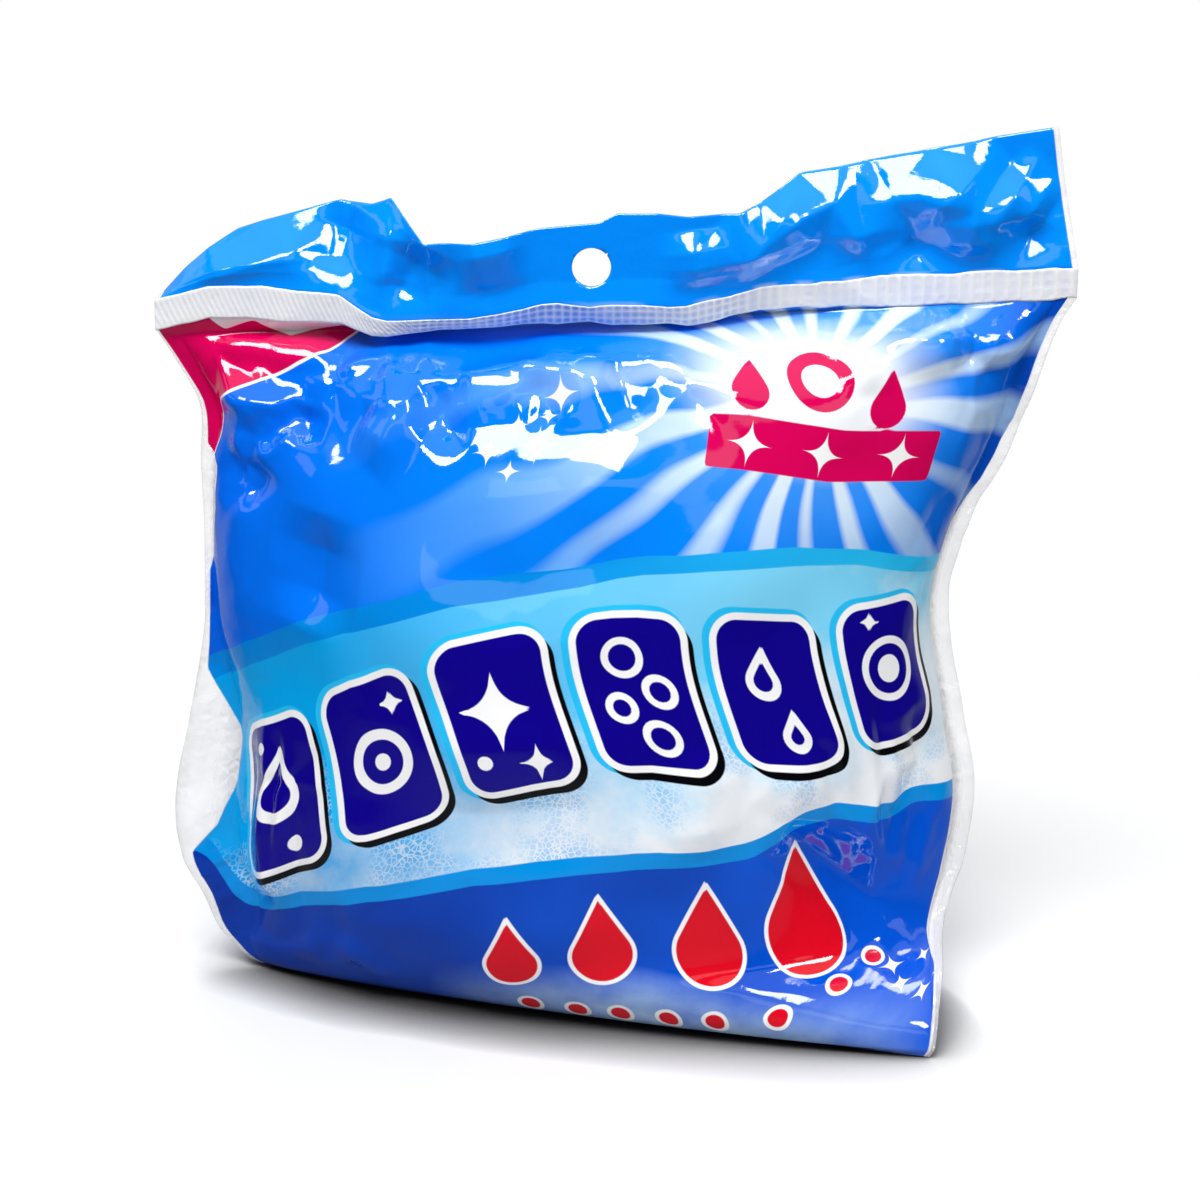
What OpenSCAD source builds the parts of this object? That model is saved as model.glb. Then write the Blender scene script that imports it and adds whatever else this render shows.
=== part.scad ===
// Sealed film pouch of cleaning tablets: a full body with flat side seals, a crimped band across its
// top, and a loose punched header above the band. One tube of film makes all of it, so it is one solid.
// Millimetres. X runs across the front, the front faces -Y, Z is up and the pouch stands on its base.

/* [Body] */
// Width across the band, from side seal to side seal
pouch_w = 192.5; // [150:0.5:240]
// Height of the band's middle line at its left end
band_left_h = 148; // [120:1:190]
// Height of the band's middle line at its right end
band_right_h = 155.5; // [120:0.5:190]
// How far the full front stands out from the side seals
front_bulge = 39; // [25:1:55]
// How far the full back stands out from the side seals
back_bulge = 35; // [25:1:55]
// Depth of the flat base behind its front edge
base_d = 50; // [40:1:70]
// How far the bottom right corner is pulled forward
ear_out = 44; // [20:1:55]
// Width of the flat side seals where they lie free
side_seal = 4; // [2:0.5:6]

/* [Band and header] */
// Height of the crimped band
seal_h = 6.5; // [4:0.5:9]
// Thickness of the crimped band
seal_t = 1.8; // [1.4:0.1:3]
// Thickness of the two loose plies of film, as in the header and the side seals
film_t = 1; // [0.6:0.1:1.2]
// Height of the header above the band's middle line, over the hang hole
header_h = 19.2; // [18:0.1:30]
// Diameter of the hang hole
hole_d = 8; // [5:0.5:10]
// Distance of the hang hole's centre from the header's cut edge
hole_edge = 8.5; // [7:0.5:10]
// Distance of the hang hole to the left of the pouch's middle
hole_off = 4.5; // [0:0.5:8]

/* [Folds] */
// Height of the sharp folds in the film, as a share of that of the real ones
fold_share = 1; // [0:0.1:1.3]

/* [Hidden] */

// Points across one ply, and rows up the body and up the header
COLUMNS = 46;
BODY_ROWS = 40;
HEADER_ROWS = 6;
// How much closer the rows lie to the base, and the columns to the side seals, where the film turns
ROW_CROWD = 1.15;
SIDE_CROWD = 0.45;

// The body's outline from the base up to the band, as shares of the sizes above:
// [way up, height left, height right, edge left, edge right, seam line's depth left and right in shares
// of ear_out, front bulge, back bulge, depth of the base, seal width left, seal width right]
LEVELS = [
    [0.00, 0.000, 0.000, 0.130, 0.845, -0.05, 1.00, 0.03, 0.00, 1.00, 0.25, 0.25],
    [0.02, 0.007, 0.013, 0.088, 0.850, -0.02, 1.00, 0.15, 0.20, 0.95, 0.50, 0.25],
    [0.06, 0.041, 0.045, 0.055, 0.855, -0.05, 0.91, 0.31, 0.47, 0.75, 1.25, 0.25],
    [0.10, 0.074, 0.077, 0.039, 0.865, -0.05, 0.66, 0.51, 0.64, 0.50, 2.50, 0.50],
    [0.14, 0.122, 0.103, 0.029, 0.875, -0.02, 0.27, 0.74, 0.74, 0.28, 3.00, 0.75],
    [0.19, 0.182, 0.167, 0.008, 0.901, 0.00, 0.05, 0.90, 0.89, 0.10, 3.25, 1.00],
    [0.28, 0.284, 0.277, 0.003, 0.912, 0.00, 0.00, 0.97, 1.00, 0.00, 3.25, 1.00],
    [0.38, 0.405, 0.392, 0.023, 0.896, 0.00, 0.00, 1.00, 0.97, 0.00, 2.75, 1.00],
    [0.50, 0.554, 0.540, 0.044, 0.875, 0.00, 0.00, 0.95, 0.91, 0.00, 0.75, 1.00],
    [0.60, 0.676, 0.656, 0.047, 0.891, -0.02, 0.00, 0.87, 0.83, 0.00, 0.50, 1.00],
    [0.70, 0.784, 0.778, 0.044, 0.938, -0.07, 0.00, 0.74, 0.69, 0.00, 0.75, 1.25],
    [0.78, 0.865, 0.881, 0.044, 0.964, -0.14, 0.00, 0.57, 0.46, 0.00, 1.00, 1.25],
    [0.84, 0.932, 0.945, 0.018, 0.984, -0.16, 0.00, 0.31, 0.20, 0.00, 1.00, 1.00],
    [0.87, 0.966, 0.978, 0.003, 1.000, -0.16, 0.00, 0.03, 0.03, 0.00, 1.00, 1.00],
];
// Way up at which the body ends, and the band's edges and the header's cut edge on the same scale
BODY_TOP = 0.87;
SEAL_LOW = 0.90;
SEAL_TOP = 0.93;
// Share of the band's height over which it thickens at each edge
SEAL_EDGE = 0.08;
HEADER_TOP = 1;
// How fast the bulge falls away towards the side seals: [power across, power of the fall]
FRONT_ROUND = [2.3, 0.75];
BACK_ROUND = [2.6, 0.62];
// Fold points of the band from left to right: [share across, depth in mm, drop from a straight line in mm]
BAND = [[0, 6, 0], [0.255, -3, -3.4], [0.345, -5.5, -3.1], [0.423, -6, -1.7], [0.548, -6, -2.6],
    [0.579, -5.5, -2.8], [0.657, -3, 0], [0.777, 0, -0.3], [1, 0, 0]];
// Fold points of the header's cut edge: [share across, depth in mm, height over header_h in mm]
CUT_EDGE = [[0.005, 9, -15.7], [0.034, 10, -11.2], [0.091, 12, -5], [0.216, 9, 2.7], [0.261, 3, 6.7],
    [0.299, -7, -1.6], [0.348, -7.5, -2.1], [0.423, -6, -1.2], [0.486, -6, 0], [0.504, -6, 1.9],
    [0.548, -6, 2], [0.634, -4.5, -0.3], [0.657, 0, 0.6], [0.7, 4, 5.7], [0.797, 5, 8.4], [0.976, 5, 12.7]];
// Least height of the header over the crimped band
HEADER_MIN = 0.5;
// Sharp folds on the front: [points as shares across and up, half width in mm, height in mm, below zero
// for a groove]. Shares up count to the band, and pass 1 in the header, where both plies fold together.
FRONT_FOLDS = [
    // right flank, where the film turns back to its side seal
    [[[0.832, 0.438], [0.848, 0.355], [0.808, 0.224]], 8, -5],
    // crease down into the pulled corner
    [[[0.652, 0.357], [0.797, 0.166], [0.868, 0.084]], 9, -4.5],
    // upright creases by the left side seal
    [[[0.111, 0.469], [0.119, 0.359], [0.117, 0.05]], 5, 3], [[[0.081, 0.42], [0.069, 0.172]], 5, -3],
    // soft valley and dimple at the upper left
    [[[0.191, 0.733], [0.167, 0.578]], 10, -4], [[[0.078, 0.784], [0.116, 0.729]], 7, -3.5],
    // ridge where the film turns over the contents
    [[[0.045, 0.835], [0.091, 0.87], [0.145, 0.855], [0.181, 0.856]], 7, 3],
    [[[0.181, 0.856], [0.228, 0.879], [0.262, 0.908], [0.306, 0.9], [0.422, 0.915], [0.5, 0.9],
        [0.58, 0.89]], 8, 4],
    // creases that run down from the ridge
    [[[0.314, 0.929], [0.318, 0.863], [0.344, 0.827]], 6, -3.5],
    [[[0.262, 0.908], [0.27, 0.847], [0.241, 0.789]], 6, 3.5],
    [[[0.422, 0.915], [0.44, 0.86]], 6, -3], [[[0.5, 0.93], [0.53, 0.86]], 6, -3],
    // folds under the top left corner and at the top right
    [[[0.051, 0.93], [0.12, 0.95], [0.209, 0.93]], 7, 3.5], [[[0.169, 0.866], [0.161, 0.811]], 5, -3],
    [[[0.777, 0.96], [0.895, 0.949]], 7, 3], [[[0.873, 0.966], [0.901, 0.9], [0.929, 0.94]], 6, -3.5],
    [[[0.765, 0.965], [0.771, 0.89]], 6, 2.5],
    // wrinkles along the bottom left
    [[[0.143, 0.09], [0.195, 0.02]], 5, 3], [[[0.192, 0.1], [0.26, 0.02]], 5, 3],
    // soft edges of the tablets behind the film
    [[[0.592, 0.436], [0.599, 0.274]], 10, 2.5], [[[0.701, 0.42], [0.681, 0.262]], 10, 2.5],
    [[[0.3, 0.66], [0.55, 0.7]], 14, -2.2], [[[0.28, 0.33], [0.5, 0.36]], 14, -2.2],
    // header: left end, the peak with the valley beside it, then the middle
    [[[0.02, 1.0], [0.083, 1.034], [0.2, 1.085]], 9, 3.5], [[[0.222, 1.12], [0.195, 1.02]], 9, -3.5],
    [[[0.261, 1.132], [0.25, 0.99]], 11, 5], [[[0.301, 1.084], [0.262, 0.99]], 9, -4.5],
    [[[0.326, 1.063], [0.42, 1.09]], 9, 3], [[[0.582, 1.105], [0.593, 1.01]], 9, 3],
    // header: upright right half
    [[[0.62, 1.007], [0.704, 1.165]], 10, 4], [[[0.64, 1.059], [0.7, 1.117], [0.736, 1.138], [0.773, 1.062],
        [0.777, 1.0]], 10, 5],
    [[[0.763, 1.13], [0.827, 1.146], [0.882, 1.129]], 9, 4],
    [[[0.838, 1.2], [0.885, 1.125], [0.882, 1.02]], 12, 6],
    [[[0.913, 1.163], [0.965, 1.11]], 9, 4], [[[0.927, 1.02], [0.958, 1.11]], 8, -4],
    [[[0.813, 1.082], [0.856, 1.01]], 8, -3.5],
];
// Sharp folds on the back, in the same form
BACK_FOLDS = [
    [[[0.2, 0.9], [0.42, 0.84], [0.66, 0.9], [0.86, 0.84]], 8, 3.5],
    [[[0.12, 0.66], [0.19, 0.48]], 8, 3], [[[0.86, 0.7], [0.8, 0.5]], 8, 3], [[[0.3, 0.2], [0.38, 0.06]], 6, 3],
    [[[0.62, 0.22], [0.56, 0.06]], 6, 3], [[[0.46, 0.62], [0.55, 0.34]], 14, -2.5],
    [[[0.3, 0.84], [0.34, 0.7]], 7, -3], [[[0.7, 0.87], [0.67, 0.72]], 7, -3], [[[0.5, 0.94], [0.53, 0.78]], 7, -3],
];
// Soft swellings over the tablets: [share across, share up, radius in mm, height in mm]
FRONT_LUMPS = [
    [0.3, 0.6, 19, 1.8], [0.47, 0.52, 20, -1.8], [0.63, 0.66, 18, 1.6], [0.79, 0.57, 18, 1.8],
    [0.37, 0.4, 20, 1.8], [0.56, 0.3, 18, 1.8], [0.22, 0.27, 16, 1.6], [0.72, 0.2, 17, -1.8],
    [0.41, 0.16, 17, 1.6], [0.5, 0.79, 16, 1.6], [0.19, 0.75, 15, 1.6], [0.76, 0.79, 16, -1.6],
    [0.16, 0.5, 16, -1.6], [0.84, 0.33, 15, 1.6],
];
BACK_LUMPS = [
    [0.28, 0.66, 20, 2.4], [0.52, 0.7, 20, 2.2], [0.75, 0.64, 19, 2.4], [0.38, 0.46, 20, 2.2],
    [0.63, 0.45, 20, 2.4], [0.2, 0.38, 18, 1.8], [0.82, 0.36, 17, 1.8], [0.3, 0.2, 19, 2],
    [0.55, 0.22, 19, 2.2], [0.74, 0.17, 17, 1.8], [0.44, 0.84, 15, 1.6], [0.67, 0.82, 15, -1.6],
];
// Share of a fold's length over which it fades out at each end
FOLD_FADE = 0.3;
// How fast folds fade out towards the side seals, the base and the band
FADE_SIDE = 3;
FADE_BASE = 8;
FADE_BAND = 25;
// How fast they rise over the band into the header
HEADER_FOLD = 2.5;
// Half width of the flat patch that is kept round the hang hole, and the width over which it ends
HOLE_FLAT = 12;
HOLE_FADE = 6;
// Length of the punch that cuts the hang hole
PUNCH_L = 10;

// Smooth curve through column c of a table, at x in its first column
function slope(tab, i, c) =
    let (a = max(i - 1, 0), b = min(i + 1, len(tab) - 1))
    (tab[b][c] - tab[a][c]) / (tab[b][0] - tab[a][0]);
function row_below(tab, x) = max([for (i = [0 : len(tab) - 2]) tab[i][0] <= x ? i : 0]);
function smooth(tab, x, c) =
    let (i = row_below(tab, x), h = tab[i + 1][0] - tab[i][0], u = (x - tab[i][0]) / h)
    (2 * u ^ 3 - 3 * u ^ 2 + 1) * tab[i][c] + (u ^ 3 - 2 * u ^ 2 + u) * h * slope(tab, i, c)
    + (3 * u ^ 2 - 2 * u ^ 3) * tab[i + 1][c] + (u ^ 3 - u ^ 2) * h * slope(tab, i + 1, c);
// Straight folds between the same points
function folded(tab, x, c) = lookup(x, [for (p = tab) [p[0], p[c]]]);
function mix(a, b, k) = a + (b - a) * k;
function within(v, low, high) = min(max(v, low), high);

// Height of the band's middle line at a share across the pouch
function band_z(k) = mix(band_left_h, band_right_h, k) + folded(BAND, k, 2);
// Height of the header's cut edge there
function cut_z(k) = band_z(k) + max(header_h + folded(CUT_EDGE, k, 2), seal_h / 2 + HEADER_MIN);

// How far the sharp folds stand out at a point of the front view
function to_fold(p, a, b) =
    let (ab = b - a, k = within((p - a) * ab / (ab * ab), 0, 1))
    [k, norm(p - a - ab * k)];
function fold_end(k) = min(1, k / FOLD_FADE, (1 - k) / FOLD_FADE);
function front_point(p) = [p[0] * pouch_w, p[1] * (band_left_h + band_right_h) / 2];
function leg(pts, i) = norm(pts[i + 1] - pts[i]);
function run_to(pts, i) = i == 0 ? 0 : leg(pts, i - 1) + run_to(pts, i - 1);
// [distance to the nearest leg of a fold, share of the fold's length there]
function nearest(p, pts) =
    let (all = [for (i = [0 : len(pts) - 2]) let (t = to_fold(p, pts[i], pts[i + 1]))
            [t[1], (run_to(pts, i) + t[0] * leg(pts, i)) / run_to(pts, len(pts) - 1)]],
        least = min([for (n = all) n[0]]))
    [for (n = all) if (n[0] == least) n][0];
function fold_out(folds, x, z) = fold_share * vsum([for (f = folds)
    let (n = nearest([x, z], [for (p = f[0]) front_point(p)]))
    n[0] < f[1] ? f[2] * (1 - n[0] / f[1]) * fold_end(n[1]) : 0]);
function lump_out(lumps, x, z) = fold_share * vsum([for (l = lumps)
    let (r = norm([x, z] - front_point([l[0], l[1]])) / l[2])
    r < 1 ? l[3] * (0.5 + cos(180 * r) / 2) : 0]);
function vsum(v, i = 0, total = 0) = i == len(v) ? total : vsum(v, i + 1, total + v[i]);

// Shares across one ply between its side seals
function across(i) = let (k = (i - 1) / (COLUMNS - 3)) mix(k, 0.5 - cos(180 * k) / 2, SIDE_CROWD);
function is_edge(i) = i == 0 || i == COLUMNS - 1;

// One point of the body, i columns across, t the way up, on the front at side -1 or the back at 1. The
// first and last columns are the free edges of the side seals, and the next ones are their inner edges.
function depth(t, side) = side < 0 ? front_bulge * smooth(LEVELS, t, 7)
    : back_bulge * smooth(LEVELS, t, 8) + base_d * smooth(LEVELS, t, 9);
function body_point(i, t, side) =
    let (left = smooth(LEVELS, t, 3) * pouch_w,
        right = smooth(LEVELS, t, 4) * pouch_w,
        inner = [left + smooth(LEVELS, t, 10) * side_seal, right - smooth(LEVELS, t, 11) * side_seal],
        x = i == 0 ? left : i == COLUMNS - 1 ? right : mix(inner[0], inner[1], across(i)),
        k = (x - left) / (right - left),
        z = mix(smooth(LEVELS, t, 1) * band_left_h, smooth(LEVELS, t, 2) * band_right_h, k),
        form = side < 0 ? FRONT_ROUND : BACK_ROUND,
        full = is_edge(i) ? 0 : (1 - abs(2 * across(i) - 1) ^ form[0]) ^ form[1],
        fade = min(1, FADE_SIDE * full) * min(1, FADE_BASE * t, FADE_BAND * (BODY_TOP - t)),
        fold = fade * (side < 0 ? fold_out(FRONT_FOLDS, x, z) + lump_out(FRONT_LUMPS, x, z)
            : fold_out(BACK_FOLDS, x, z) + lump_out(BACK_LUMPS, x, z)),
        seam = -ear_out * mix(smooth(LEVELS, t, 5), smooth(LEVELS, t, 6), k))
    [x, seam + side * (depth(t, side) * full + fold + film_t / 2), z];

// One point of the band or of the header, at the same way up. The film lies flat round the hang hole.
hole_x = pouch_w / 2 - hole_off;
function hole_calm(x) = within((abs(x - hole_x) - HOLE_FLAT) / HOLE_FADE, 0, 1);
function head_point(i, t, side) =
    let (k = i == 0 ? 0 : i == COLUMNS - 1 ? 1 : mix(side_seal, pouch_w - side_seal, across(i)) / pouch_w,
        w = within((t - SEAL_LOW) / (SEAL_TOP - SEAL_LOW), 0, 1),
        h = within((t - SEAL_TOP) / (HEADER_TOP - SEAL_TOP), 0, 1),
        edge = mix(CUT_EDGE[0][0], CUT_EDGE[len(CUT_EDGE) - 1][0], k),
        x = mix(k, edge, h) * pouch_w,
        z = mix(band_z(k) + (w - 0.5) * seal_h, cut_z(edge), h),
        fold = fold_out(FRONT_FOLDS, x, z) * min(1, HEADER_FOLD * h) * hole_calm(x))
    [x, mix(folded(BAND, k, 1), folded(CUT_EDGE, edge, 1), h) - fold + side * film_t / 2, z];

// The body runs into the band's lower edge, and the crimped band is thicker than the film
function film_point(i, t, side) =
    let (join = within((t - BODY_TOP) / (SEAL_LOW - BODY_TOP), 0, 1))
    mix(body_point(i, min(t, BODY_TOP), side), head_point(i, max(t, SEAL_LOW), side), join);
function film_ply(t, side) = [for (i = [0 : COLUMNS - 1]) film_point(i, t, side)];
function band_ply(t, side) =
    [for (i = [0 : COLUMNS - 1]) head_point(i, t, side) + [0, side * (seal_t - film_t) / 2, 0]];

// Plies from the base to the cut edge, as pairs of front and back
SIDES = [-1, 1];
BODY_WAY = [for (i = [0 : BODY_ROWS - 1]) BODY_TOP * (i / (BODY_ROWS - 1)) ^ ROW_CROWD];
BAND_WAY = [for (w = [SEAL_EDGE, 1 - SEAL_EDGE]) mix(SEAL_LOW, SEAL_TOP, w)];
HEADER_WAY = [for (i = [0 : HEADER_ROWS]) mix(SEAL_TOP, HEADER_TOP, i / HEADER_ROWS)];
PLIES = concat(
    [for (t = concat(BODY_WAY, [SEAL_LOW])) [for (side = SIDES) film_ply(t, side)]],
    [for (t = BAND_WAY) [for (side = SIDES) band_ply(t, side)]],
    [for (t = HEADER_WAY) [for (side = SIDES) film_ply(t, side)]]);
// Each ring runs along the front and comes back along the back
RING = 2 * COLUMNS;
function back_to_front(v) = [for (i = [len(v) - 1 : -1 : 0]) v[i]];
POINTS = [for (pair = PLIES) each concat(pair[0], back_to_front(pair[1]))];
function at(row, i) = row * RING + (i % RING);
WALL = [for (row = [0 : len(PLIES) - 2], i = [0 : RING - 1])
    each [[at(row, i), at(row + 1, i), at(row + 1, i + 1)], [at(row, i), at(row + 1, i + 1), at(row, i + 1)]]];
// The base and the cut edge are closed by a strip between the front and the back
function strip(row) = [for (i = [0 : COLUMNS - 2])
    each [[at(row, i), at(row, i + 1), at(row, RING - 2 - i)],
        [at(row, i), at(row, RING - 2 - i), at(row, RING - 1 - i)]]];
function turned(faces) = [for (f = faces) [f[0], f[2], f[1]]];
FACES = concat(WALL, strip(0), turned(strip(len(PLIES) - 1)));

// The origin is under the middle of the whole pouch, on the ground
function lowest(c) = min([for (p = POINTS) p[c]]);
function highest(c) = max([for (p = POINTS) p[c]]);
MIDDLE = [(lowest(0) + highest(0)) / 2, (lowest(1) + highest(1)) / 2, lowest(2)];
HOLE_AT = [hole_x, folded(CUT_EDGE, hole_x / pouch_w, 1), cut_z(hole_x / pouch_w) - hole_edge];

module film() {
    polyhedron(POINTS, FACES, convexity = 8);
}

module hang_hole() {
    translate(HOLE_AT) rotate([90, 0, 0]) cylinder(h = PUNCH_L, d = hole_d, center = true, $fn = 64);
}

module pouch() {
    color("dodgerblue") translate(-MIDDLE) difference() {
        film();
        hang_hole();
    }
}

pouch();
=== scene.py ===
import math
import bpy
import numpy as np
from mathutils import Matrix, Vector
from mathutils.geometry import delaunay_2d_cdt


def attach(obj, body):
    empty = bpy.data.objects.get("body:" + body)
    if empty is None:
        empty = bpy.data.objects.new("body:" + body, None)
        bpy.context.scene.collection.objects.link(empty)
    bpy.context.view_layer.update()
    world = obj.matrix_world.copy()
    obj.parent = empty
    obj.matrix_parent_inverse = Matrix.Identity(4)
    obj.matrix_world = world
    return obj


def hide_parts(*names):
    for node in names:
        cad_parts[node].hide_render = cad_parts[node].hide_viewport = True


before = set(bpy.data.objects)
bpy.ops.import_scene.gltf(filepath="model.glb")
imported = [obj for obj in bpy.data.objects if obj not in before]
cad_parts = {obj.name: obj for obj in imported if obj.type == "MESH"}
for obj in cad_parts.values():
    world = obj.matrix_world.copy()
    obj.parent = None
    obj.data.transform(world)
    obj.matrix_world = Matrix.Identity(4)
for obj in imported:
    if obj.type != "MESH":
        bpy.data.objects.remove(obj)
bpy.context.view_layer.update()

mm = 0.001

# Sizes of the pouch in mm, as in the solid
film = {
    "width": 192.5, "bandLeft": 148, "bandRight": 155.5, "frontBulge": 39, "backBulge": 35,
    "baseDepth": 50, "earOut": 44, "sideSeal": 4, "sealHeight": 6.5, "headerHeight": 19.2,
    "middle": (96.25, -2.33742, 0), "holeRadius": 4, "holeOff": 4.5, "holeUp": 160.01,
    "finGap": 0.22, "fullGap": 0.5, "leastHeader": 0.5,
}
# way up, height left and right, edge left and right, seam depth left and right, front, back, base, seals
levels = np.array([
    [0, 0, 0, 0.13, 0.845, -0.05, 1, 0.03, 0, 1, 0.25, 0.25],
    [0.02, 0.007, 0.013, 0.088, 0.85, -0.02, 1, 0.15, 0.2, 0.95, 0.5, 0.25],
    [0.06, 0.041, 0.045, 0.055, 0.855, -0.05, 0.91, 0.31, 0.47, 0.75, 1.25, 0.25],
    [0.1, 0.074, 0.077, 0.039, 0.865, -0.05, 0.66, 0.51, 0.64, 0.5, 2.5, 0.5],
    [0.14, 0.122, 0.103, 0.029, 0.875, -0.02, 0.27, 0.74, 0.74, 0.28, 3, 0.75],
    [0.19, 0.182, 0.167, 0.008, 0.901, 0, 0.05, 0.9, 0.89, 0.1, 3.25, 1],
    [0.28, 0.284, 0.277, 0.003, 0.912, 0, 0, 0.97, 1, 0, 3.25, 1],
    [0.38, 0.405, 0.392, 0.023, 0.896, 0, 0, 1, 0.97, 0, 2.75, 1],
    [0.5, 0.554, 0.54, 0.044, 0.875, 0, 0, 0.95, 0.91, 0, 0.75, 1],
    [0.6, 0.676, 0.656, 0.047, 0.891, -0.02, 0, 0.87, 0.83, 0, 0.5, 1],
    [0.7, 0.784, 0.778, 0.044, 0.938, -0.07, 0, 0.74, 0.69, 0, 0.75, 1.25],
    [0.78, 0.865, 0.881, 0.044, 0.964, -0.14, 0, 0.57, 0.46, 0, 1, 1.25],
    [0.84, 0.932, 0.945, 0.018, 0.984, -0.16, 0, 0.31, 0.2, 0, 1, 1],
    [0.87, 0.966, 0.978, 0.003, 1, -0.16, 0, 0.03, 0.03, 0, 1, 1]])
# share across, depth, drop from a straight line
bandFolds = np.array([
    [0, 6, -0.6], [0.06, 4, 2], [0.12, 2, 2], [0.205, -1.5, 0.6], [0.24, -2.6, -2.8], [0.255, -3, -3.2],
    [0.345, -5.5, -2.4], [0.423, -6, -1.1], [0.548, -6, -2.2],
    [0.579, -5.5, -2.4], [0.657, -3, 0], [0.777, 0, -0.3], [1, 0, 0]])
# share across, share of the seal's height that shows
bandShows = np.array([
    [0, 0.95], [0.08, 1.05], [0.2, 1], [0.245, 0.62], [0.3, 0.42], [0.345, 0.4], [0.4, 0.6],
    [0.44, 0.72], [0.475, 0.52], [0.5, 0.7], [0.56, 0.6], [0.6, 0.72], [0.66, 0.72], [0.74, 0.85],
    [0.8, 1], [1, 1]])
# share across, depth, height over the header's height
cutFolds = np.array([
    [0.005, 9, -15.7], [0.034, 10, -11.2], [0.091, 12, -5], [0.216, 9, 2.7], [0.261, 3, 6.7],
    [0.299, -7, -1.6], [0.348, -7.5, -2.1], [0.423, -6, -1.2], [0.486, -6, 0], [0.504, -6, 1.9],
    [0.548, -6, 2], [0.634, -4.5, -0.3], [0.657, 0, 0.6], [0.7, 4, 5.7], [0.797, 5, 8.4],
    [0.976, 5, 12.7]])
# half width, height, then points as shares across and up; past 1 up in the header
frontFolds = [
    # right flank, where the film turns back to its side seal
    (8, -5, 0.832, 0.438, 0.848, 0.355, 0.808, 0.224),
    # crease down into the pulled corner
    (9, -4.5, 0.652, 0.357, 0.797, 0.166, 0.868, 0.084),
    # upright creases by the left side seal
    (5, 3, 0.111, 0.469, 0.119, 0.359, 0.117, 0.05), (5, -3, 0.081, 0.42, 0.069, 0.172),
    # soft valley and dimple at the upper left
    (10, -4, 0.191, 0.733, 0.167, 0.578), (7, -3.5, 0.078, 0.784, 0.116, 0.729),
    # ridge where the film turns over the contents
    (7, 3, 0.045, 0.835, 0.091, 0.87, 0.145, 0.855, 0.181, 0.856),
    (8, 4, 0.181, 0.856, 0.228, 0.879, 0.262, 0.908, 0.306, 0.9, 0.422, 0.915, 0.5, 0.9, 0.58, 0.89),
    # creases that run down from the ridge
    (6, -3.5, 0.314, 0.929, 0.318, 0.863, 0.344, 0.827),
    (6, 3.5, 0.262, 0.908, 0.27, 0.847, 0.241, 0.789),
    (6, -3, 0.422, 0.915, 0.44, 0.86), (6, -3, 0.5, 0.93, 0.53, 0.86),
    # folds under the top left corner and at the top right
    (7, 3.5, 0.051, 0.93, 0.12, 0.95, 0.209, 0.93), (5, -3, 0.169, 0.866, 0.161, 0.811),
    (7, 3, 0.777, 0.96, 0.895, 0.949), (6, -3.5, 0.873, 0.966, 0.901, 0.9, 0.929, 0.94),
    (6, 2.5, 0.765, 0.965, 0.771, 0.89),
    # wrinkles along the bottom left
    (5, 3, 0.143, 0.09, 0.195, 0.02), (5, 3, 0.192, 0.1, 0.26, 0.02),
    # soft edges of the tablets behind the film
    (10, 2.5, 0.592, 0.436, 0.599, 0.274), (10, 2.5, 0.701, 0.42, 0.681, 0.262),
    (14, -2.2, 0.3, 0.66, 0.55, 0.7), (14, -2.2, 0.28, 0.33, 0.5, 0.36),
    # header: left end, the peak with the valley beside it, then the middle
    (9, 3.5, 0.02, 1, 0.083, 1.034, 0.2, 1.085), (9, -3.5, 0.222, 1.12, 0.195, 1.02),
    (11, 5, 0.261, 1.132, 0.25, 0.99), (9, -4.5, 0.301, 1.084, 0.262, 0.99),
    (9, 3, 0.326, 1.063, 0.42, 1.09), (9, 3, 0.582, 1.105, 0.593, 1.01),
    # header: upright right half
    (10, 4, 0.62, 1.007, 0.704, 1.165),
    (10, 5, 0.64, 1.059, 0.7, 1.117, 0.736, 1.138, 0.773, 1.062, 0.777, 1),
    (9, 4, 0.763, 1.13, 0.827, 1.146, 0.882, 1.129),
    (12, 6, 0.838, 1.2, 0.885, 1.125, 0.882, 1.02),
    (9, 4, 0.913, 1.163, 0.965, 1.11), (8, -4, 0.927, 1.02, 0.958, 1.11),
    (8, -3.5, 0.813, 1.082, 0.856, 1.01),
]
backFolds = [
    (8, 3.5, 0.2, 0.9, 0.42, 0.84, 0.66, 0.9, 0.86, 0.84),
    (8, 3, 0.12, 0.66, 0.19, 0.48), (8, 3, 0.86, 0.7, 0.8, 0.5),
    (6, 3, 0.3, 0.2, 0.38, 0.06), (6, 3, 0.62, 0.22, 0.56, 0.06),
    (14, -2.5, 0.46, 0.62, 0.55, 0.34), (7, -3, 0.3, 0.84, 0.34, 0.7),
    (7, -3, 0.7, 0.87, 0.67, 0.72), (7, -3, 0.5, 0.94, 0.53, 0.78),
]
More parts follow.
